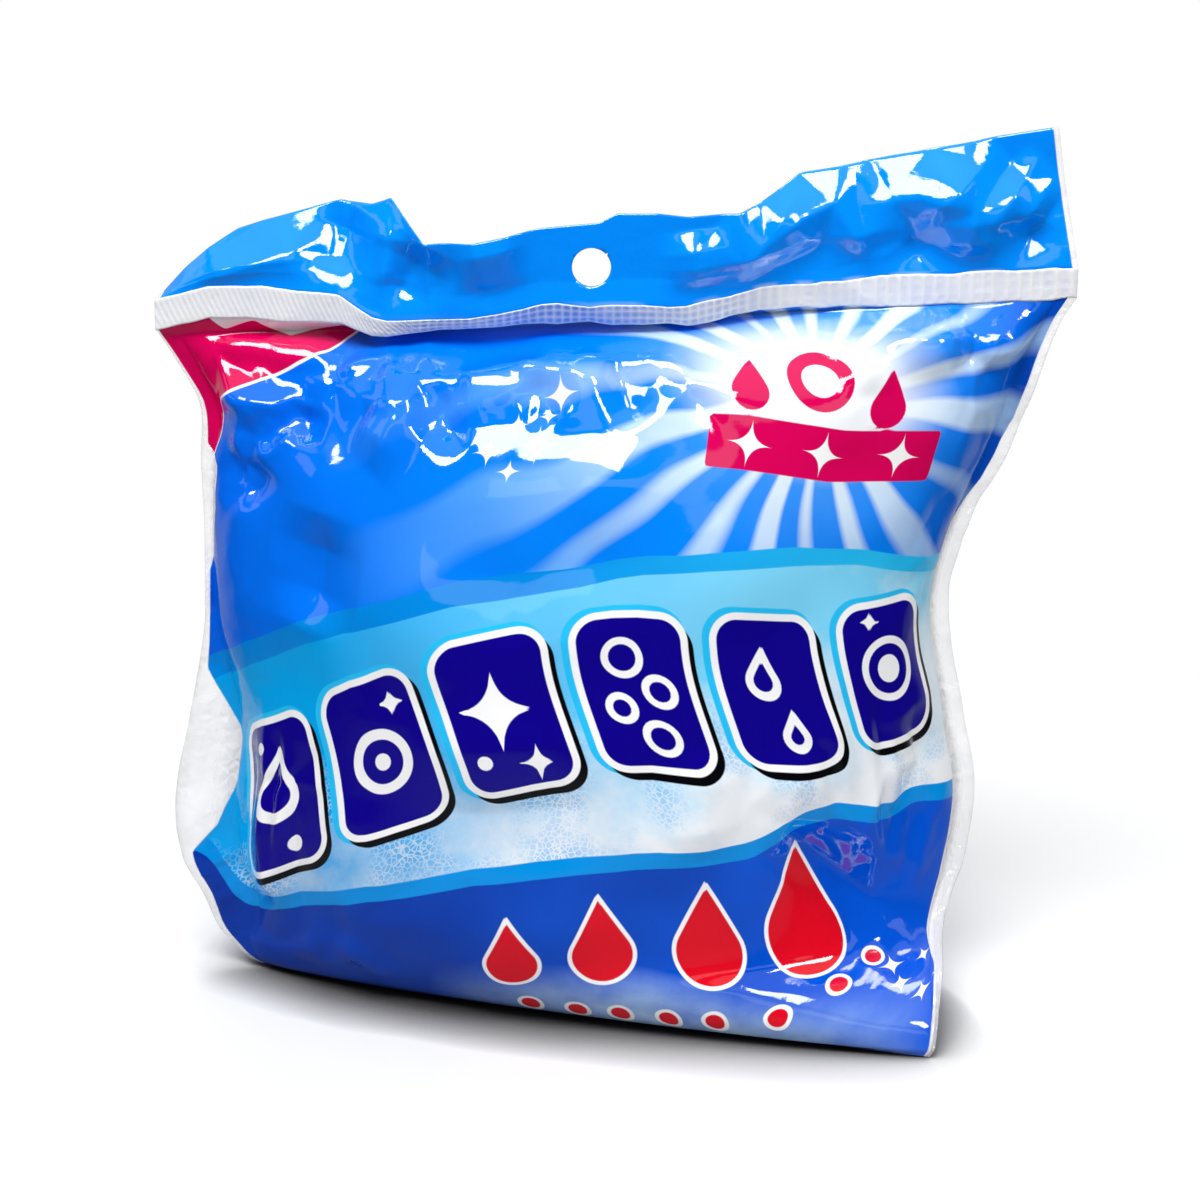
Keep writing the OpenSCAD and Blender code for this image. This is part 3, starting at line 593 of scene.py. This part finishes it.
def dressBody(side):
    grid, full, t, finLeft, finRight = bodyPly(side)
    u, v = layFlat(grid, grid.shape[1] // 2)
    x, z = frontView(grid)
    n = outward(grid, side)
    seed = 0 if side < 0 else 50
    spots = sum(size * bell(u, *across) * bell(v, *up) for size, across, up in crumple["spots"])
    amount = np.minimum(crumple["most"], crumple["face"] + spots)
    bulk = amount * sum(facets(u, v, *net, seed + n) for n, net in enumerate(crumple["nets"]))
    pucker = facets(u, v, *crumple["pucker"], 9, 1, 4) * np.exp(v / crumple["puckerReach"]) * -side
    inward = crumple["sideAt"] - np.abs(u)
    pucker += facets(u, v, *crumple["sidePucker"], seed + 10, 4, 1) * np.exp(-inward / crumple["sideReach"])
    if side < 0:
        fold = foldField(x, z, frontFolds) + lumpField(x, z, frontLumps)
        bulk = bulk + pinchField(u, v)
        for u1, v1, u2, v2, halfWidth, height in sharpCreases:
            bulk = bulk + creaseAlong(u, v, [(u1, v1), (u2, v2)], halfWidth, height)
    else:
        fold = foldField(x, z, backFolds) + lumpField(x, z, backLumps)
        bulk = bulk + facets(u, v, *crumple["backWide"], seed + 12)
    bulk = bulk + facets(u, v, *crumple["wide"], seed + 11)
    underBand = grain["bodyTop"] - t
    fade = np.minimum(1, 3 * full) * smoothStep(t, 0, crumple["fadeEnd"]) * np.clip(25 * underBand, 0, 1)
    move = soften((fold + bulk + pucker) * fade, 1)
    calmer = np.maximum(soften(move, crumple["calmRounds"]), crumple["calmDeepest"])
    move = mix(calmer, move, smoothStep(t, crumple["calmFrom"], crumple["fadeEnd"]))
    grid = grid + n * move[..., None]
    wave = finWave(z, crumple["bendLeft"], 5) * smoothStep(finLeft, 0, 1)
    wave = wave + finWave(z, crumple["bendRight"], 6) * smoothStep(finRight, 0, 1)
    for n, net in enumerate(crumple["finNets"]):
        wave = wave + facets(u, v, *net, 30 + n) * np.minimum(1, 1.4 * (finLeft + finRight))
    grid[..., 1] += wave * np.minimum(1, 6 * t) * np.clip(12 * underBand, 0, 1)
    kTop = x[-1:] / film["width"]
    back, lift = bandDrift(kTop, np.zeros_like(kTop))
    grid[..., 1] += back * np.exp(v / crumple["bandReach"])
    grid[..., 2] += lift * np.exp(v / crumple["bandReach"])
    values = printFields(u if side < 0 else -u, v, side > 0)
    up, left, right = np.array(clearMargins).T
    fromLeft, fromRight = u - u[:, :1], u[:, -1:] - u
    values["clear"] = np.maximum(np.interp(v, up, left) - fromLeft, np.interp(v, up, right) - fromRight)
    values["rough"] = amount
    values["front"] = np.full(u.shape, 1.0 if side < 0 else 0.0)
    values["fin"] = np.broadcast_to(np.minimum(1, 3 * (finLeft + finRight)), u.shape)
    return grid, u, v, values


def buildBody():
    front, fu, fv, fValues = dressBody(-1)
    back, bu, bv, bValues = dressBody(1)
    rows, cols = front.shape[:2]
    back, bu, bv = back[::2, ::2], bu[::2, ::2], bv[::2, ::2]
    bValues = {k: a[::2, ::2] for k, a in bValues.items()}
    inner = (slice(None), slice(1, -1))
    verts = np.concatenate([front.reshape(-1, 3), back[inner].reshape(-1, 3)])
    uvBack = np.stack([-bu, bv], -1)[inner]
    uv = np.concatenate([np.stack([fu, fv], -1).reshape(-1, 2), uvBack.reshape(-1, 2)])
    values = {k: np.concatenate([fValues[k].ravel(), bValues[k][inner].ravel()]) for k in fValues}
    rowsBack, colsBack = back.shape[:2]
    start = rows * cols

    def f(r, c):
        return r * cols + c

    def b(r, c):
        if c == 0:
            return f(2 * r, 0)
        if c == colsBack - 1:
            return f(2 * r, cols - 1)
        return start + r * (colsBack - 2) + c - 1

    faces = [(f(r, c), f(r, c + 1), f(r + 1, c + 1), f(r + 1, c))
             for r in range(rows - 1) for c in range(cols - 1)]
    for r in range(rowsBack - 1):
        for c in range(colsBack - 1):
            ids = [b(r, c), b(r + 1, c)]
            if c == 0:
                ids.insert(1, f(2 * r + 1, 0))
            ids.append(b(r + 1, c + 1))
            if c == colsBack - 2:
                ids.append(f(2 * r + 1, cols - 1))
            ids.append(b(r, c + 1))
            faces.append(ids)
    for c in range(colsBack - 1):
        under = [b(0, c), b(0, c + 1), f(0, 2 * c + 2), f(0, 2 * c + 1), f(0, 2 * c)]
        over = [f(rows - 1, 2 * c + n) for n in range(3)] + [b(rowsBack - 1, c + 1), b(rowsBack - 1, c)]
        # a corner that both plies share is named once
        faces += [list(dict.fromkeys(under)), list(dict.fromkeys(over))]
    return makeMesh("filledPouch", verts, faces, uv, values)


def twoPlies(name, middle, shift, apart, uv, values, hole=None):
    # both plies on one grid, apart from the middle, closed by strips at the borders and round a hole
    plies = []
    for side in (-1, 1):
        ply = middle.copy()
        ply[..., 1] += shift + side * apart
        plies.append(ply.reshape(-1, 3))
    rows, cols = middle.shape[:2]
    count = rows * cols
    verts = np.concatenate(plies)
    quads = [(r * cols + c, r * cols + c + 1, (r + 1) * cols + c + 1, (r + 1) * cols + c)
             for r in range(rows - 1) for c in range(cols - 1)]
    if hole is not None:
        quads = [q for q in quads if not any(hole[i] for i in q)]
    edges = dict.fromkeys(pair for q in quads for pair in zip(q, q[1:] + q[:1]))
    rim = [(a, b) for a, b in edges if (b, a) not in edges]
    faces = quads + [tuple(i + count for i in reversed(q)) for q in quads]
    faces += [(b, a, a + count, b + count) for a, b in rim]
    used = sorted({i for face in faces for i in face})
    renumber = {old: new for new, old in enumerate(used)}
    faces = [tuple(renumber[i] for i in face) for face in faces]
    both = {k: np.concatenate([a.ravel(), a.ravel()])[used] for k, a in values.items()}
    uvBoth = np.concatenate([uv.reshape(-1, 2), uv.reshape(-1, 2)])[used]
    return makeMesh(name, verts[used], faces, uvBoth, both)


header = {
    "amount": 0.9, "middle": 0.4, "right": 0.95, "left": 0.3, "rightFrom": (160, 180), "leftFrom": (-60, -10),
    "flats": (20, 2.2), "smaller": (11, 0.35), "fine": (5, 0.07),
    # how far from the hang hole's middle the folds and facets start and are full
    "foldsClear": (12, 18), "facetsClear": (7, 18), "snap": 0.42, "clearEdge": 1.2,
    # the lowest row stands inside the band; how far up the band's own course is followed
    "lowRow": 0.02, "lowRowIn": 0.8, "follow": 0.3,
}


def headerShift(x, z, u, v, h):
    # the folds of the solid, and flat facets between them; the film lies flat round the hang hole
    holeX = film["width"] / 2 - film["holeOff"]
    start, end = header["foldsClear"]
    beside = np.clip((np.abs(x - holeX) - start) / (end - start), 0, 1)
    folds = foldField(x, z, frontFolds) * np.minimum(1, 2.5 * h) * beside
    amount = header["middle"] + header["right"] * smoothStep(x, *header["rightFrom"])
    amount = header["amount"] * (amount + header["left"] * smoothStep(-x, *header["leftFrom"]))
    flats = facets(u, v, *header["flats"], 20) + facets(u, v, *header["smaller"], 21, 1, 1.5)
    flats = flats + facets(u, v, *header["fine"], 22)
    near = smoothStep(np.hypot(x - holeX, 0.6 * (z - film["holeUp"])), *header["facetsClear"])
    return folds + flats * amount * near * np.minimum(1, 4 * h)


def buildHeader():
    k = np.linspace(0, 1, grain["columns"])
    up = np.linspace(0, 1, grain["headerRows"])
    w = np.where(up < header["lowRow"], header["lowRowIn"], 1)[:, None]
    h = np.clip((up - header["lowRow"]) / (1 - header["lowRow"]), 0, 1)[:, None]
    middle = headPly(k[None, :], w, h, 0)
    back, lift = bandDrift(k[None, :], w)
    middle[..., 1] += back * np.clip(1 - h / header["follow"], 0, 1)
    middle[..., 2] += lift * np.clip(1 - h / header["follow"], 0, 1)
    u, v = layFlat(middle, len(k) // 2, False)
    x, z = frontView(middle)
    # the grid points nearest the hang hole are moved onto its rim
    dx, dz = x - (film["width"] / 2 - film["holeOff"]), z - film["holeUp"]
    r = np.hypot(dx, dz)
    near = np.abs(r - film["holeRadius"]) < header["snap"]
    pull = np.where(near, film["holeRadius"] / np.maximum(r, 1e-6), 1)
    middle[..., 0] += dx * (pull - 1)
    middle[..., 2] += dz * (pull - 1)
    inside = (r < film["holeRadius"]) & ~near
    x, z = frontView(middle)
    shift = headerShift(x, z, u, v, h)
    values = {key: np.full(u.shape, farOff) for key in printKeys}
    values["clear"] = header["clearEdge"] - np.minimum(u - u[:, :1], u[:, -1:] - u)
    values.update(rough=np.ones(u.shape), front=np.zeros(u.shape), fin=np.ones(u.shape))
    uv = np.stack([u, v], -1)
    return twoPlies("looseHeader", middle, -shift, film["finGap"], uv, values, inside.ravel())


def buildBand():
    k = np.linspace(0, 1, grain["bandColumns"])[None, :]
    w = np.linspace(0, 1, grain["bandRows"])[:, None]
    middle = headPly(k, w * np.ones_like(k), 0, 0)
    u, v = layFlat(middle, middle.shape[1] // 2, False)
    back, lift = bandDrift(k * np.ones_like(w), w * np.ones_like(k))
    middle[..., 1] += back
    middle[..., 2] += lift
    # slanted ribs at the left, square cells in the middle, upright bars at the right
    rib = lambda shifted, pitch: np.abs(np.sin(np.pi * shifted / pitch)) ** 0.6
    rows = rib(w * sealBand["rowsOfCells"], 1)
    cells = mix(rib(u + 4 * w, 1.25), rib(u, sealBand["pitch"]) * rows, smoothStep(k, 0.27, 0.3))
    bars = rib(u + facets(u, v * 0, 4.5, 1.1, 40), 2.5) * (0.75 + 0.25 * rows)
    cells = mix(cells, bars, smoothStep(k, 0.62, 0.66))
    border = np.minimum(1, np.minimum(w, 1 - w) * 9) * np.ones_like(k)
    swell = sealBand["thick"] * (0.55 + 0.45 * border) - sealBand["relief"] * cells * border
    return twoPlies("crimpedBand", middle, 0, swell, np.stack([u, v], -1), {"cells": cells * border})


# Shader maths written as expressions
class Wire:
    def __init__(self, shader, socket):
        self.shader = shader
        self.socket = socket

    def maths(self, operation, a, b=None, clamp=False):
        values = {0: a} if b is None else {0: a, 1: b}
        return self.shader.wire("Math", 0, {"operation": operation, "use_clamp": clamp}, values)

    def clamped(self):
        return self.maths("ADD", self, 0.0, True)

    def of(self, operation, other=None):
        return self.maths(operation, self, other)


for sign, operation in (("add", "ADD"), ("sub", "SUBTRACT"), ("mul", "MULTIPLY"), ("truediv", "DIVIDE"),
                        ("pow", "POWER")):
    setattr(Wire, f"__{sign}__", lambda a, b, operation=operation: a.maths(operation, a, b))
    setattr(Wire, f"__r{sign}__", lambda a, b, operation=operation: a.maths(operation, b, a))


class Shader:
    def __init__(self, owner):
        owner.use_nodes = True
        self.tree = owner.node_tree
        self.tree.nodes.clear()

    def node(self, kind, settings=None, values=None):
        made = self.tree.nodes.new("ShaderNode" + kind)
        for key, value in (settings or {}).items():
            setattr(made, key, value)
        for key, value in (values or {}).items():
            if isinstance(value, Wire):
                self.tree.links.new(value.socket, made.inputs[key])
            elif hasattr(value, "is_output"):
                self.tree.links.new(value, made.inputs[key])
            else:
                made.inputs[key].default_value = value
        return made

    def wire(self, kind, output=0, settings=None, values=None):
        return Wire(self, self.node(kind, settings, values).outputs[output])

    def value(self, name):
        return self.wire("Attribute", "Fac", {"attribute_name": name})

    def blend(self, a, b, k):
        return self.wire("Mix", 2, {"data_type": "RGBA"}, {0: k, 6: a, 7: b})

    def noise(self, where, scale, detail=2, rough=0.5):
        values = {"Vector": where, "Scale": scale, "Detail": detail, "Roughness": rough}
        return self.wire("TexNoise", "Fac", None, values)

    def cellEdges(self, where, scale):
        settings = {"feature": "DISTANCE_TO_EDGE"}
        return self.wire("TexVoronoi", "Distance", settings, {"Vector": where, "Scale": scale})

    def bump(self, strength, distance, height):
        values = {"Strength": strength, "Distance": distance, "Height": height}
        return self.wire("Bump", 0, None, values)

    def finish(self, values):
        surface = self.node("BsdfPrincipled", None, values).outputs[0]
        self.node("OutputMaterial", None, {"Surface": surface})


def ink(r, g, b):
    # colour written as it is seen, 0 to 255
    line = [c / 255 / 12.92 if c / 255 <= 0.04045 else ((c / 255 + 0.055) / 1.055) ** 2.4 for c in (r, g, b)]
    return (*line, 1.0)


inks = {
    "blueLeft": ink(0, 100, 234), "blueMiddle": ink(0, 132, 252), "blueRight": ink(0, 76, 194),
    "header": ink(0, 142, 255), "stripe": ink(0, 136, 226), "stripeRight": ink(40, 196, 252),
    "cyan": ink(0, 168, 242), "cyanPale": ink(128, 218, 254), "foam": ink(247, 250, 254),
    "wave": ink(0, 148, 232), "deep": ink(0, 56, 168), "deepLow": ink(0, 84, 212), "navy": ink(14, 0, 140),
    "red": ink(224, 8, 34), "crimson": ink(216, 0, 88), "white": ink(253, 253, 254),
    "glow": ink(246, 250, 255), "ray": ink(140, 210, 250), "cloud": ink(176, 208, 238),
    "shadow": ink(3, 3, 8), "clear": ink(252, 252, 255), "band": ink(255, 255, 255),
    "bandCell": ink(176, 190, 228),
}
sunburst = {"at": (41, -24), "glow": 13, "wide": 1.6, "reach": 96, "rays": 19}
# motifs from the lowest layer up: ink, field and how far past the field's edge, in mm
layers = {
    "under": [("stripeRight", "panel", 1.2), ("foam", "panel", 0), ("stripeRight", "cyanEdge", 2.2),
              ("shadow", "shade", 1.5), ("white", "motif", 1.5)],
    "middle": [("white", "red", 0.9), ("red", "red", 0), ("crimson", "crimson", 0)],
    # the last white layer is partly print and partly a painted highlight under the band's left end
    "over": [("white", "patch", 0.7), ("crimson", "patch", 0), ("white", "whiteAndPaintedHighlight", 0)],
}
softEdge = {"print": 0.22, "spark": 0.16}
filmFinish = {
    "plain": {"Roughness": 0.04, "Specular IOR Level": 0.8, "Coat Weight": 0.35, "Coat Roughness": 0.02},
    "clearAlpha": 0.26, "pocketAlpha": 0.72, "bump": (0.5, 0.0005)}


def printedFilm():
    material = bpy.data.materials.new("printedFilm")
    s = Shader(material)
    uv = s.wire("UVMap", 0, {"uv_map": "film"})
    split = s.node("SeparateXYZ", None, {0: uv})
    u, v = Wire(s, split.outputs[0]) * 100, Wire(s, split.outputs[1]) * 100

    def inside(value, at=0.0):
        return ((at - value) / softEdge["print"] + 0.5).clamped()

    def laid(colour, group):
        for name, field, past in layers[group]:
            colour = s.blend(colour, inks[name], inside(s.value(field), past))
        return colour

    def ramp(start, length):
        # from 0 at a place across to 1 further right
        return ((u - start) / length).clamped()

    # upper field
    toRight = ramp(70, 22)
    colour = s.blend(inks["blueLeft"], inks["blueMiddle"], ramp(-95, 90))
    colour = s.blend(colour, inks["blueRight"], toRight)
    du, dv = u - sunburst["at"][0], v - sunburst["at"][1]
    reach = (du * du + dv * dv) ** 0.5
    angle = dv.of("ARCTAN2", du)
    uneven = s.noise(s.blend((0, 0, 0, 1), uv, 1.0), 2.6, 1)
    swing = (angle * sunburst["rays"] + uneven * 6).of("SINE") + (angle * 7 + 1.3).of("SINE") * 0.5
    fading = (1.05 - reach / sunburst["reach"]).clamped() ** 1.3 * (reach / 9 - 0.8).clamped()
    rays = ((swing + 0.1) * 1.15).clamped() * fading
    inner = (1.2 - reach / 60).clamped()
    colour = s.blend(colour, s.blend(inks["ray"], inks["glow"], inner), (rays * 1.3).clamped())
    haze = (1 - reach / 40).clamped() ** 1.4 * (0.2 + 0.6 * s.noise(uv, 7, 4, 0.6))
    colour = s.blend(colour, inks["ray"], (haze * (1 - toRight * 0.6)).clamped())
    flat = ((du * du / sunburst["wide"] ** 2 + dv * dv) ** 0.5) / sunburst["glow"]
    glow = ((1.55 - flat) * 1.3).clamped() ** 1.3
    colour = s.blend(colour, inks["glow"], glow.clamped())
    colour = s.blend(colour, inks["header"], (v / 2).clamped())
    # stripe, cyan field with foam, wave
    stripe = s.blend(inks["stripe"], inks["stripeRight"], ramp(-10, 75))
    colour = s.blend(colour, stripe, inside(s.value("stripe")))
    lower = s.value("lower")
    depth = ((lower * -1 - 6) / 46).clamped()
    field = s.blend(inks["cyan"], inks["cyanPale"], ramp(-55, 90))
    foamNoise = s.noise(uv, 4.5, 5, 0.62)
    pale = ((depth * 1.3 + (u + 30) / 130 - 0.75) + (foamNoise - 0.5) * 1.6).clamped()
    field = s.blend(field, inks["foam"], pale)
    rims = (1 - s.cellEdges(uv, 85) * 7).clamped()
    bubbly = ((s.noise(uv, 5.1, 3) - 0.5) * 6).clamped() * ((depth - 0.25) * 3).clamped()
    field = s.blend(field, s.blend(inks["cyan"], inks["white"], rims), bubbly * 0.55)
    colour = s.blend(colour, field, inside(lower))
    wave = s.value("wave")
    colour = s.blend(colour, inks["wave"], inside(wave))
    lighter = s.noise(uv, 2, 3) * 1.6 - 0.35 + (u + 20) / 120
    deep = s.blend(inks["deep"], inks["deepLow"], lighter.clamped())
    colour = s.blend(colour, deep, inside(wave, -waveThick))
    cloud = (1.2 - ((u - 20) / 46).of("ABSOLUTE")).clamped() * ((-155 - v) / 12).clamped()
    colour = s.blend(colour, inks["cloud"], (cloud * (s.noise(uv, 5, 5, 0.6) * 2.4 - 0.4)).clamped())
    # motifs
    colour = laid(colour, "under")
    tile = s.blend(inks["navy"], inks["white"], inside(s.value("cutOut")))
    colour = laid(s.blend(colour, tile, inside(s.value("motif"))), "middle")
    # four-pointed sparks
    deepest = None
    for at, r in [(at, crimsonLabel["sparkReach"]) for at in crimsonLabel["sparks"]] + sparks:
        x, y = ((u - at[0]) / r).of("ABSOLUTE"), ((v - at[1]) / r).of("ABSOLUTE")
        depthIn = (1 - x ** 0.5 - y ** 0.5) * (0.55 * r)
        deepest = depthIn if deepest is None else deepest.of("MAXIMUM", depthIn)
    spark = (deepest / softEdge["spark"] + 0.5).clamped()
    colour = laid(s.blend(colour, inks["white"], spark * s.value("front")), "over")
    clear = inside(s.value("clear") * -1)
    colour = s.blend(colour, inks["clear"], clear)
    thin = mix(filmFinish["pocketAlpha"], filmFinish["clearAlpha"], s.value("fin"))
    crinkled = (s.noise(uv, 60, 3, 0.6) * 0.12 + s.noise(uv, 18, 2) * 0.6) * (s.value("rough") + 0.15)
    crinkled = crinkled + s.cellEdges(uv, 32) * clear * 4
    s.finish({**filmFinish["plain"], "Base Color": colour, "Alpha": 1 - clear * (1 - thin),
              "Normal": s.bump(*filmFinish["bump"], crinkled)})
    return material


bandFinish = {"plain": {"Roughness": 0.16, "Specular IOR Level": 0.8, "Alpha": 0.9}, "bump": (0.4, 0.0003)}


def crimpedFilm():
    material = bpy.data.materials.new("crimpedFilm")
    s = Shader(material)
    uv = s.wire("UVMap", 0, {"uv_map": "film"})
    along = s.wire("SeparateXYZ", 0, None, {0: uv}) * 100
    middle = (1.5 - ((along + 8) / 30).of("ABSOLUTE")).clamped()
    tint = s.value("cells") * (0.35 + 1.3 * middle) * (s.noise(uv, 6, 3) * 2.2 - 0.5).clamped()
    colour = s.blend(inks["band"], s.blend(inks["bandCell"], inks["header"], middle * 0.35), tint.clamped())
    s.finish({**bandFinish["plain"], "Base Color": colour,
              "Normal": s.bump(*bandFinish["bump"], s.noise(uv, 70, 2))})
    return material


studio = {
    # the world's fill, how far the shadow painted on the floor reaches, and the backdrop, overhead and dark
    # levels that reflections see
    "fill": 0.3, "paintedShadowReach": 0.016, "backdrop": 0.28, "overhead": 0.42, "dark": 0.02,
    # the floor shows as far as floorFrom round the pouch and is gone at floorTo
    "floorFrom": 0.1, "floorTo": 0.26, "floorHalf": 4, "floorDown": 0.0003,
    # the floor's ink, the ink of the shadow painted on it near the pouch, and its ink in reflections
    "floorInk": ink(236, 236, 236), "paintedShadowInk": ink(30, 26, 28), "mirroredInk": ink(84, 84, 86),
    # pale panes all round, between two heights on a sphere of 1
    "window": 0.6, "windowFrom": 0.44, "windowTo": 0.62,
    # azimuth from the front to the right, elevation, distance, width, height, radiance
    "key": (-27, 59, 0.95, 0.72, 0.34, 11.5),
    "right": (50, 46, 1.0, 0.2, 0.3, 15.0),
    "behind": (165, 62, 1.0, 0.7, 0.3, 6.5),
    "aim": (0, 0, 0.1),
}


def aimed(name, data, target, azimuth, elevation, distance):
    # an object that looks at the target; azimuth runs from the front to the right
    a, e = math.radians(azimuth), math.radians(elevation)
    place = target + distance * Vector((math.sin(a) * math.cos(e), -math.cos(a) * math.cos(e), math.sin(e)))
    made = bpy.data.objects.new(name, data)
    made.location = place
    made.rotation_euler = (target - place).to_track_quat("-Z", "Y").to_euler()
    bpy.context.scene.collection.objects.link(made)
    return made


def softbox(name):
    azimuth, elevation, distance, width, height, radiance = studio[name]
    data = bpy.data.lights.new(name, "AREA")
    data.shape = "RECTANGLE"
    data.size, data.size_y = width, height
    data.energy = radiance * math.pi * width * height
    aimed(name, data, Vector(studio["aim"]), azimuth, elevation, distance)


def buildStudio():
    world = bpy.data.worlds.new("studio")
    bpy.context.scene.world = world
    s = Shader(world)
    path = s.node("LightPath")
    seen = (Wire(s, path.outputs["Is Camera Ray"]) + Wire(s, path.outputs["Is Transmission Ray"])).clamped()
    glossy = Wire(s, path.outputs["Is Glossy Ray"])
    way = s.node("SeparateXYZ", None, {0: s.node("TexCoord").outputs["Generated"]})
    x, y, z = (Wire(s, way.outputs[n]) for n in range(3))
    backwards = ((y - 0.25) * 4).clamped() * studio["backdrop"]
    upwards = ((z - 0.72) * 25).clamped() * studio["overhead"]
    shown = ((z - studio["windowFrom"]) * 50).clamped() * ((studio["windowTo"] - z) * 50).clamped()
    azimuth = x.of("ARCTAN2", y * -1)
    panes = (((azimuth * 3.4 + 1.1).of("SINE") + 0.25) * 12).clamped()
    tent = backwards.of("MAXIMUM", upwards).of("MAXIMUM", shown * panes * studio["window"]) + studio["dark"]
    strength = seen + (1 - seen) * (glossy * tent + (1 - glossy) * studio["fill"])
    shade = s.node("Background", None, {"Color": (1, 1, 1, 1), "Strength": strength})
    s.node("OutputWorld", None, {"Surface": shade.outputs[0]})
    for name in ("key", "right", "behind"):
        softbox(name)
    data = bpy.data.meshes.new("floor")
    far, low = studio["floorHalf"], -studio["floorDown"]
    corners = [(-far, -far, low), (far, -far, low), (far, far, low), (-far, far, low)]
    data.from_pydata(corners, [], [(0, 1, 2, 3)])
    floor = bpy.data.objects.new("floor", data)
    bpy.context.scene.collection.objects.link(floor)
    material = bpy.data.materials.new("paper")
    s = Shader(material)
    position = s.node("NewGeometry").outputs["Position"]
    away = s.wire("VectorMath", "Value", {"operation": "LENGTH"}, {0: position})
    thin = ((away - studio["floorFrom"]) / (studio["floorTo"] - studio["floorFrom"])).clamped()
    glossy = s.wire("LightPath", "Is Glossy Ray")
    # painted contact shadow: the floor's colour darkens where the pouch closes over it, under and round its
    # base
    near = s.wire("AmbientOcclusion", "AO", {"samples": 8}, {"Distance": studio["paintedShadowReach"]})
    paintedShadowTone = s.blend(studio["paintedShadowInk"], studio["floorInk"], near ** 2.0)
    paper = s.node("BsdfDiffuse", None, {"Color": s.blend(paintedShadowTone, studio["mirroredInk"], glossy)})
    gone = s.node("BsdfTransparent")
    shown = s.node("MixShader", None, {0: thin, 1: paper.outputs[0], 2: gone.outputs[0]})
    s.node("OutputMaterial", None, {"Surface": shown.outputs[0]})
    data.materials.append(material)


view = {"lens": 89.47, "target": (-2.75, 2.337, 86.3), "away": 0.64, "elevation": 18}


def buildCamera():
    data = bpy.data.cameras.new("view")
    data.sensor_width = 36
    data.lens = view["lens"]
    data.clip_end = 20
    camera = aimed("view", data, Vector(view["target"]) * mm, 0, view["elevation"], view["away"])
    bpy.context.scene.camera = camera
    bpy.context.scene.view_settings.view_transform = "Standard"


buildCamera()
buildStudio()
print("camera and studio ready")
pieces = [buildBody(), buildHeader(), buildBand()]
print("film pieces ready")
filmMaterial = printedFilm()
bandMaterial = crimpedFilm()
for piece in pieces:
    piece.data.materials.append(bandMaterial if piece.name.startswith("crimped") else filmMaterial)
    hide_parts("pouch")
    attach(piece, "root")
print("materials ready")
